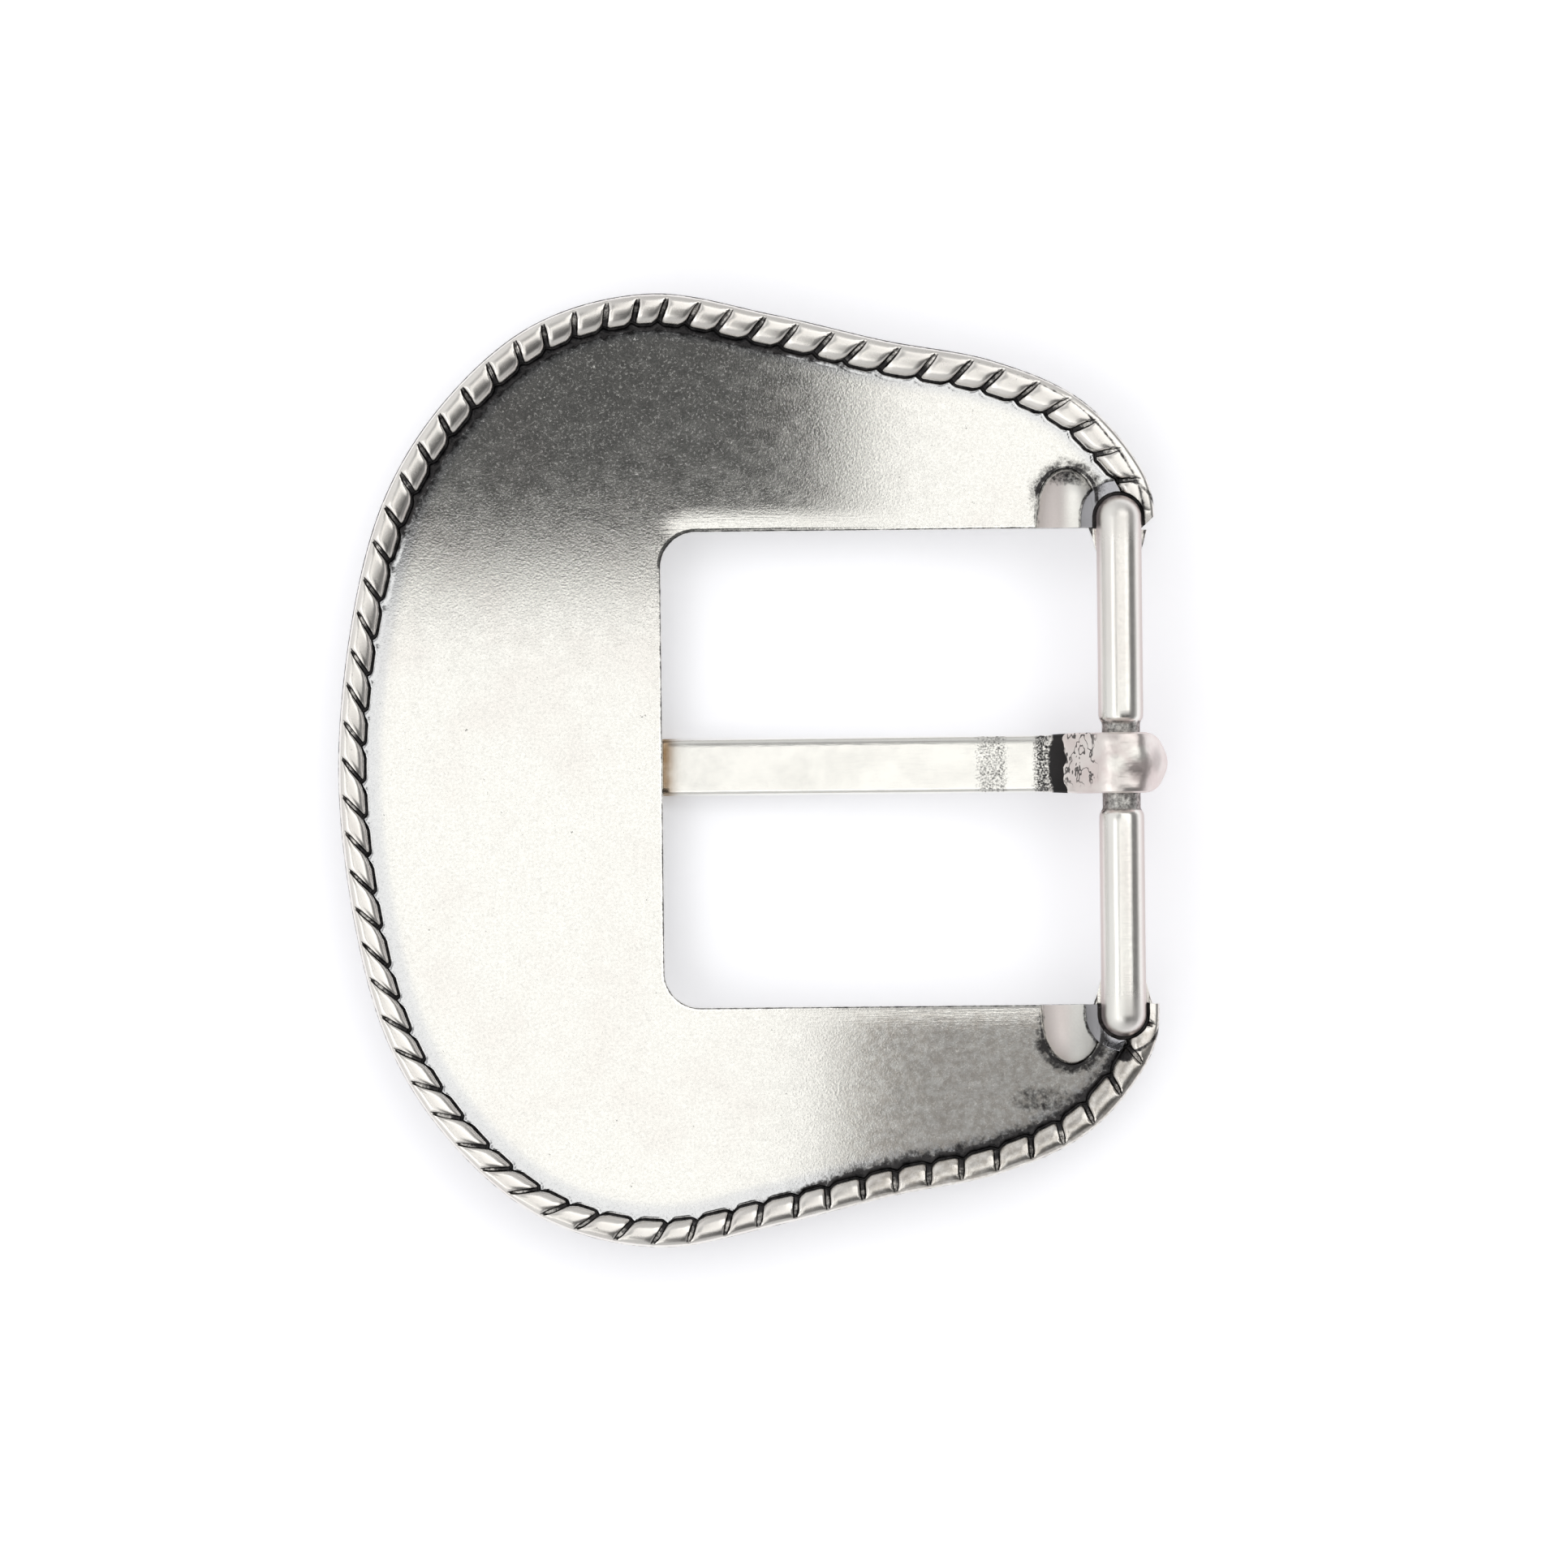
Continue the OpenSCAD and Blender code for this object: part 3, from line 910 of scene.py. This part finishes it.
class Shader(Nodes):
    """The nodes of one metal or table, with calls for places on the piece and for its relief."""

    def __init__(self, name):
        self.material = bpy.data.materials.new(name)
        super().__init__(self.material)
        self.surface = self.node("ShaderNodeBsdfPrincipled")
        self.node("ShaderNodeOutputMaterial", {"Surface": self.surface.outputs[0]})
        coordinates = self.node("ShaderNodeTexCoord")
        self.place = coordinates.outputs["Object"]
        self.normal = coordinates.outputs["Normal"]

    def set(self, name, value):
        """Links or sets one of the surface's inputs."""
        self.put(self.surface.inputs[name], value)

    def value(self, name):
        """A float that the mesh carries at each point."""
        return self.node("ShaderNodeAttribute", attribute_name=name).outputs["Fac"]

    def over(self, distance, low_mm, high_mm, to_low=0.0, to_high=1.0):
        """What spread() gives for a distance, with low and high in millimetres."""
        return self.spread(distance, low_mm * MM, high_mm * MM, to_low, to_high)

    def axes(self):
        """x, y and z of the point on the surface, from the middle of the strap bar."""
        return self.node("ShaderNodeSeparateXYZ", {"Vector": self.place}).outputs

    def length(self, a, b):
        """Length of the step that goes a one way and b square to it."""
        return self.math("SQRT", self.add(self.times(a, a), self.times(b, b)))

    def noise(self, size_mm, detail=3.0, rough=0.55, stretch=(1, 1, 1), seed=0.0):
        """Cloudy noise whose features are about size_mm across, longer along a stretched axis."""
        scaled = self.node(
            "ShaderNodeMapping",
            {"Vector": self.place, "Scale": tuple(1 / s for s in stretch), "Location": (seed, seed, seed)},
        ).outputs["Vector"]
        made = self.node(
            "ShaderNodeTexNoise",
            {"Vector": scaled, "Scale": 1 / (size_mm * MM), "Detail": detail, "Roughness": rough},
        )
        return made.outputs["Fac"]

    def mix(self, share, a, b):
        return self.node("ShaderNodeMix", {0: share, 6: a, 7: b}, data_type="RGBA").outputs[2]

    def spot(self, x_mm, y_mm, wide_mm, long_mm):
        """1 in the middle of an oval seen from above, fading to 0 at its rim."""
        x, y, _ = self.axes()
        dx = self.math("DIVIDE", self.minus(x, x_mm * MM), wide_mm * MM)
        dy = self.math("DIVIDE", self.minus(y, y_mm * MM), long_mm * MM)
        return self.spread(self.length(dx, dy), 1.0, 0.3)

    def relief(self, *layers):
        """Gives the surface its relief: each layer is a height of 0 to 1 and what it is in mm."""
        normal = {}
        for height, depth_mm in layers:
            given = {"Height": height, "Distance": depth_mm * MM, **normal}
            normal = {"Normal": self.node("ShaderNodeBump", given).outputs["Normal"]}
        self.set("Normal", normal["Normal"])

    def facing_up(self):
        """1 where the piece faces the same way as the hollow side, and 0 where it faces away."""
        upwards = self.node("ShaderNodeSeparateXYZ", {"Vector": self.normal}).outputs["Z"]
        return self.spread(upwards, 0.2, 0.6)

    def hollows(self, distance_mm):
        """0 out in the open and up to 1 deep in the piece's own creases."""
        made = self.node(
            "ShaderNodeAmbientOcclusion", {"Distance": distance_mm * MM}, samples=8, only_local=True
        )
        return self.rest(made.outputs["AO"])


SILVER = (0.90, 0.89, 0.85, 1)
WARM_SILVER = (0.76, 0.70, 0.67, 1)
DULL_SILVER = (0.64, 0.635, 0.61, 1)
BLUE_SILVER = (0.55, 0.57, 0.62, 1)
BRIGHT_SILVER = (0.95, 0.94, 0.90, 1)
BROWN_SILVER = (0.52, 0.48, 0.43, 1)
# Pink of the painted reflection on the lumps' left flanks
PINK_SILVER = (0.50, 0.41, 0.40, 1)
LAND_GREY = (0.36, 0.36, 0.39, 1)
# Rose of the floor's painted reflection on the bar's lower sides
FLOOR_REFLECTION_ROSE = (0.55, 0.46, 0.44, 1)
HOOK_SILVER = (0.74, 0.65, 0.63, 1)
# Colour of the painted highlights on the hook
HIGHLIGHT_SILVER = (0.95, 0.93, 0.88, 1)
UMBER_SILVER = (0.42, 0.37, 0.36, 1)
# Dark of the patina, and of the painted shade and shadow on the tongue and on the upper lump's end
PATINA_AND_SHADE = (0.046, 0.044, 0.045, 1)
SOOT = (0.012, 0.012, 0.013, 1)
# Brown of the painted shade where the tongue bends under the window's edge
EDGE_SHADE_BROWN = (0.30, 0.19, 0.10, 1)


def casting_metal():
    """Silvered casting: satin and gritty on the plate, brighter on the rope, black in the cuts."""
    m = Shader("casting_metal")
    x, y, _ = m.axes()
    rope = m.value("rope")
    plate = m.rest(rope)
    fine = m.noise(0.2, 2, 0.7, seed=7.0)
    land, lump, pink, seats = seat_marks(m)

    tint = m.mix(m.spread(m.noise(6.0, 4), 0.45, 0.75, 0, 0.3), SILVER, WARM_SILVER)
    tint = m.mix(m.times(rope, 0.35), tint, WARM_SILVER)
    tint = m.mix(m.times(plate, m.spread(fine, 0.35, 0.65, 0, 0.45)), tint, DULL_SILVER)
    smudge = m.noise(1.1, 5, 0.7, seed=11.0)
    tint = m.mix(m.spread(smudge, 0.5, 0.75, 0, 0.08), tint, DULL_SILVER)
    tint = m.mix(m.times(m.value("beside_rope"), 0.55), tint, BLUE_SILVER)
    tint = m.mix(m.times(lump, 0.7), tint, BRIGHT_SILVER)
    tint = m.mix(m.times(land, 0.9), tint, LAND_GREY)
    # Painted pink reflection on the lumps' left flanks
    tint = m.mix(m.times(pink, 0.8), tint, PINK_SILVER)

    # The lower arm is stained brown on this side, and smeared with dirt near its end
    lower_arm = m.times(m.over(x, -27, -19), m.over(y, -19, -22))
    bare = m.rest(m.most(land, lump))
    lower_arm = m.times(lower_arm, m.facing_up(), bare)
    stained = m.times(lower_arm, m.spread(m.noise(0.7, 5, 0.75, seed=13.0), 0.35, 0.65, 0.1, 0.8))
    tint = m.mix(stained, tint, BROWN_SILVER)
    smeared = m.times(m.spot(-6.5, -28.0, 4.8, 1.8), 0.3)

    # Dirt from the mesh's values, the seats and the deepest creases, with painted shade on the upper
    # lump's end among the seats' marks, broken up by two noises
    hollow = m.spread(m.hollows(0.4), 0.7, 1.0)
    dirt_and_shade = m.most(m.value("patina_and_shade"), seats, hollow)
    dirt_and_shade = m.most(dirt_and_shade, m.times(lower_arm, m.add(smeared, 0.2)))
    speck = m.minus(m.noise(0.3, 4, 0.7), 0.5)
    ragged = m.minus(m.noise(0.8, 5, 0.7, seed=5.0), 0.5)
    deposit_and_shade = m.add(dirt_and_shade, m.add(m.times(speck, 0.6), m.times(ragged, 0.9)))
    pits = m.spread(m.noise(0.8, 4, 0.7, seed=3.0), 0.69, 0.75)
    dark = m.most(m.spread(deposit_and_shade, 0.3, 0.74), m.times(pits, 0.5))
    color = m.mix(dark, tint, PATINA_AND_SHADE)
    m.set("Base Color", m.mix(m.spread(deposit_and_shade, 0.85, 1.1), color, SOOT))

    # Grit in the plate's skin scatters light, so it shows pale where the metal mirrors the dark
    grit = m.spread(m.noise(0.22, 3, 0.75, seed=15.0), 0.5, 0.68)
    grit = m.times(grit, m.minus(plate, dark))
    lower_lump = m.times(lump, m.over(y, 0.0, -20))
    scatter = m.add(m.times(grit, 0.34), m.times(lower_lump, m.rest(pink), 0.6))
    m.set("Metallic", m.rest(scatter))
    rough = m.spread(m.noise(1.2, 4, seed=1.0), 0.3, 0.7, 0.08, 0.12)
    thick = m.spread(deposit_and_shade, 0.6, 0.95)
    rough = m.add(rough, m.times(rope, 0.16), m.times(thick, 0.35), m.times(lump, 0.36))
    m.set("Roughness", rough)

    lines_x = m.times(m.noise(0.16, 3, 0.6, stretch=(16, 1, 1)), m.value("filed_x"))
    lines_y = m.times(m.noise(0.16, 3, 0.6, stretch=(1, 16, 1)), m.value("filed_y"))
    grain = m.times(fine, m.add(m.times(plate, 0.8), 0.2))
    waves = m.noise(4.0, 2, 0.5, seed=9.0)
    m.relief((waves, 0.001), (grain, 0.0042), (m.add(lines_x, lines_y), 0.012), (pits, -0.008))
    return m.material


def seat_marks(m):
    """Shares of the land, the lumps, the lumps' left flank with its painted pink reflection, and the dirt
    with painted shade on the upper lump's end, round each bar end.
    """
    x, signed_y, z = m.axes()
    y = m.math("ABSOLUTE", signed_y)
    lower = m.over(signed_y, 0.0, -20)
    at_arm = m.over(y, 19.8, 20.0)
    on_back = m.over(z, -2.6, -2.3)
    land = m.value("land")

    # In the groove round the bar, and round the land
    beyond = m.math("MAXIMUM", m.minus(y, BAR_END_Y * MM), 0.0)
    from_bar = m.length(x, beyond)
    groove = m.over(from_bar, 2.32, 2.15, 0, 0.85)
    land_edge = m.times(m.over(from_bar, 3.0, 3.2), m.over(from_bar, 3.6, 3.3, 0, 0.6))

    # Round the lump: a thin line, a halo, and a broad band at the lower one
    across = m.minus(x, LUMP_X * MM)
    past = m.math("MAXIMUM", m.minus(y, 22.6 * MM), 0.0)
    from_lump = m.length(across, past)
    raised = m.times(m.over(z, LAND_Z - 0.5, LAND_Z - 0.2), at_arm)
    lump = m.times(m.over(from_lump, 2.7, 2.5), raised)
    line = m.times(m.over(from_lump, 2.15, 2.4), m.over(from_lump, 2.9, 2.55, 0, 0.75))
    halo = m.times(m.over(from_lump, 2.2, 2.5), m.over(from_lump, 4.2, 2.7, 0, 0.58))
    band = m.times(m.over(from_lump, 2.35, 2.5), m.over(from_lump, 3.7, 2.8, 0, 0.62))
    halo = m.most(halo, m.times(band, lower))
    lump_edge = m.times(m.most(line, halo), m.over(y, 20.5, 23.5, 0.55, 1.0))

    # Painted shade on the upper lump's outer end; dark at the lumps' feet, in a pit by the lower seat, and
    # on the shelf
    end = m.times(m.over(signed_y, 22.6, 24.4, 0, 0.62), lump)
    foot = m.times(m.over(z, -0.35, -0.6, 0, 0.55), m.over(from_lump, 2.85, 2.7))
    pit = m.times(m.spot(0.1, -24.35, 1.3, 0.8), 0.9)
    shelf = m.times(m.over(y, 20.0, 19.8, 0, 0.2), m.over(x, -5.0, -4.0))

    # The lumps' left flank, where a pink reflection is painted
    pink = m.times(lump, m.over(across, 0.5, -0.9, 0, 0.7))
    near = m.times(m.most(groove, land_edge, lump_edge, foot, pit), at_arm)
    # Dirt, with the painted shade on the upper lump's end
    dirt_and_shade = m.times(m.most(near, end, shelf), on_back)
    return land, lump, pink, dirt_and_shade


def bar_metal():
    """Silvered rod, drawn along its length, with a dull and dirty neck."""
    m = Shader("bar_metal")
    speck = m.noise(0.35, 4, 0.7)
    cloud = m.noise(5.0, 3, stretch=(1, 3, 1))
    _, signed_y, z = m.axes()
    y = m.math("ABSOLUTE", signed_y)
    neck = m.over(y, NECK_L / 2 + 0.25, NECK_L / 2 - 0.05)
    tint = m.mix(m.spread(cloud, 0.4, 0.65, 0, 0.4), SILVER, WARM_SILVER)
    # Painted reflection of the floor: the bar's lower sides are tinted rose
    tint = m.mix(m.over(z, 1.35, 0.7, 0, 0.85), tint, FLOOR_REFLECTION_ROSE)
    darkening = m.spread(m.add(m.times(neck, 0.42), m.times(speck, 0.55)), 0.45, 0.9)
    m.set("Base Color", m.mix(darkening, tint, PATINA_AND_SHADE))
    m.set("Metallic", 1.0)
    rough = m.add(m.spread(speck, 0.3, 0.7, 0.2, 0.26), m.times(darkening, 0.3), m.over(y, 18, 21, 0, 0.14))
    m.set("Roughness", rough)
    turned = m.noise(0.12, 2, stretch=(20, 1, 20))
    drawn = m.noise(0.25, 3, stretch=(1, 30, 1))
    m.relief((turned, 0.003), (drawn, 0.008))
    return m.material


def tongue_metal():
    """Silvered strip: bright and brushed on its length, pink, dented and scratched on the hook."""
    m = Shader("tongue_metal")
    hub = m.value("hub")
    x, y, z = m.axes()
    cloud = m.noise(3.0, 4)
    on_top = m.times(hub, m.over(z, 1.0, 1.6))

    tint = m.mix(m.times(hub, m.spread(cloud, 0.3, 0.6, 0.5, 1.0)), SILVER, HOOK_SILVER)
    # Painted highlights: two bright spots on the hook's top
    bright = m.most(m.spot(-0.56, 0.15, 1.1, 1.0), m.spot(1.3, 1.0, 1.1, 1.0))
    tint = m.mix(m.times(bright, on_top, 0.9), tint, HIGHLIGHT_SILVER)
    dull = m.most(m.spot(1.15, -0.8, 0.9, 0.8), m.times(m.spot(2.9, 0.5, 0.6, 1.5), 0.7))
    tint = m.mix(m.times(dull, on_top, 0.75), tint, UMBER_SILVER)
    # Brown painted shade where the strip bends under the window's edge
    edge_shade = m.times(m.value("edge_shade"), m.spread(cloud, 0.2, 0.6, 0.5, 1))
    tint = m.mix(edge_shade, tint, EDGE_SHADE_BROWN)

    # Two speckled patches across the strip: one farther along it, and one beside the hook, which is
    # painted shade leading into the painted shadow under the hook's end
    far_patch = m.times(m.over(x, -13.2, -11.6), m.over(x, -8.6, -10.0, 0, 0.5))
    grey = m.times(m.over(x, -8.2, -6.6, 0, 0.72), m.over(x, -5.6, -5.9))
    patches = m.times(m.most(far_patch, grey), m.rest(hub), m.facing_up())
    # Painted shade where the strip lies close under its own hook
    hollow = m.spread(m.hollows(1.2), 0.45, 0.9)
    # Darkening: the painted shadow before the hook's end, that painted shade, and the patches
    darkening = m.most(m.value("patina_and_shade"), hollow, patches)
    dots = m.minus(m.noise(0.17, 2, 0.6, seed=6.0), 0.5)
    darkening = m.spread(m.add(darkening, m.times(dots, m.add(m.times(patches, 1.9), 0.3))), 0.35, 0.85)

    # Scratches from the pliers: thin lines where a noise passes its middle value
    passing = m.noise(1.1, 2, 0.6, stretch=(0.7, 1.4, 1), seed=4.0)
    lines = m.math("ABSOLUTE", m.minus(passing, 0.5))
    lines = m.spread(lines, 0.034, 0.016, 0, 0.85)
    near_end = m.times(m.over(x, -1.9, -2.6), m.over(y, -1.9, -1.0))
    lines = m.times(lines, near_end, m.over(z, 1.0, 1.6))
    darkening = m.most(darkening, lines)

    m.set("Base Color", m.mix(darkening, tint, PATINA_AND_SHADE))
    m.set("Metallic", 1.0)
    rough = m.add(m.spread(cloud, 0.3, 0.7, 0.15, 0.22), m.times(hub, 0.16), m.times(darkening, 0.3))
    m.set("Roughness", rough)
    brushed = m.noise(0.16, 3, stretch=(14, 1, 1))
    dents = m.times(m.noise(1.3, 2, seed=2.0), m.add(m.times(hub, 0.9), 0.1))
    m.relief((dents, 0.06), (brushed, 0.006))
    return m.material


# ================================================================ the scene round it


def room():
    """Room that is dark overhead, light to the left and grey elsewhere, as the metal mirrors it."""
    world = bpy.data.worlds.new("room")
    n = Nodes(world)
    direction = n.node("ShaderNodeTexCoord").outputs["Generated"]
    x, y, z = n.node("ShaderNodeSeparateXYZ", {"Vector": direction}).outputs
    west = n.spread(x, -0.1, -0.45, 0.6, 0.85)
    side = n.spread(x, 0.5, 0.75, west, 0.2)
    horizon = n.spread(z, 0.3, 0.05, side, 0.6)
    south_east = n.times(n.spread(x, -0.02, 0.12), n.spread(y, -0.02, -0.15))
    dark_down_to = n.spread(south_east, 0.0, 1.0, 0.8, 0.5)
    dark_from = n.spread(south_east, 0.0, 1.0, 0.93, 0.72)
    north_west = n.times(n.spread(x, 0.0, -0.1), n.spread(y, 0.02, 0.12))
    overhead = n.spread(north_west, 0.0, 1.0, 0.08, 0.4)
    light = n.spread(z, dark_from, dark_down_to, overhead, horizon)
    background = n.node("ShaderNodeBackground", {"Color": light})
    n.node("ShaderNodeOutputWorld", {"Surface": background.outputs[0]})
    return world


# In metres: half of the table's side, and how high the lamps hang
TABLE_HALF = 3.0
LAMP_Z = 1.2
# Each lamp's name, its x from and to, its y from and to in metres, and how bright its face is
LAMPS = [
    ("light_far_right", -0.091, 1.3, -0.131, 0.9, 1.12),
    ("light_near_left", -0.42, -0.1, -0.9, 0.12, 1.12),
    ("light_left", -1.1, -0.52, -0.9, 0.1, 1.05),
]
LAMP_COLOR = (1.0, 0.995, 0.975)
TABLE_WHITE = (0.90, 0.905, 0.95, 1)
# The table's painted shadow round the piece reaches this far, in mm
TABLE_SHADE = 18


def table():
    """White table under the piece that also glows a little, and glows less close to the piece, which
    paints a soft shadow round it.
    """
    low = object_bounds()[0][2]
    mesh = bpy.data.meshes.new("table")
    corners = [(x * TABLE_HALF, y * TABLE_HALF, low) for x, y in ((-1, -1), (1, -1), (1, 1), (-1, 1))]
    mesh.from_pydata(corners, [], [(0, 1, 2, 3)])
    floor = bpy.data.objects.new("table", mesh)
    bpy.context.scene.collection.objects.link(floor)
    m = Shader("table_white")
    m.set("Base Color", TABLE_WHITE)
    m.set("Roughness", 0.9)
    m.set("Specular IOR Level", 0.0)
    m.set("Emission Color", (1, 1, 1, 1))
    sky = m.node("ShaderNodeAmbientOcclusion", {"Distance": TABLE_SHADE * MM}, samples=16)
    open_sky = sky.outputs["AO"]
    m.set("Emission Strength", m.spread(open_sky, 0.45, 0.95, 0.26, 0.45))
    mesh.materials.append(m.material)
    floor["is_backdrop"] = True


def lamps():
    """Large soft lights overhead, which the camera itself doesn't see."""
    for name, x0, x1, y0, y1, radiance in LAMPS:
        light = bpy.data.lights.new(name, "AREA")
        light.shape = "RECTANGLE"
        light.size = x1 - x0
        light.size_y = y1 - y0
        light.energy = radiance * math.pi * (x1 - x0) * (y1 - y0)
        light.color = LAMP_COLOR
        lamp = bpy.data.objects.new(name, light)
        lamp.location = ((x0 + x1) / 2, (y0 + y1) / 2, LAMP_Z)
        lamp.visible_camera = False
        bpy.context.scene.collection.objects.link(lamp)


def camera():
    """Long lens straight above the middle of the piece, turned a little against it."""
    lens = bpy.data.cameras.new("camera")
    lens.lens = 245
    lens.sensor_width = 36
    lens.clip_end = 10
    eye = bpy.data.objects.new("camera", lens)
    eye.location = (-28.3 * MM, -1.24 * MM, 0.895)
    eye.rotation_euler = (0, 0, math.radians(-0.6))
    bpy.context.scene.collection.objects.link(eye)
    return eye


def place(piece, body, node, material):
    """Gives a piece its material and its body, and hides the CAD node that it stands for."""
    piece.data.materials.clear()
    piece.data.materials.append(material)
    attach(piece, body)
    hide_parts(node)


place(casting(), "casting", "frame", casting_metal())
place(strap_bar(), "casting", "strap_bar", bar_metal())
place(tongue(), "tongue", "tongue", tongue_metal())
table()
lamps()
bpy.context.scene.world = room()
bpy.context.scene.camera = camera()
bpy.context.scene.view_settings.view_transform = "Standard"


def plain(bounds):
    """A box as plain lists of numbers."""
    return [list(map(float, corner)) for corner in bounds]
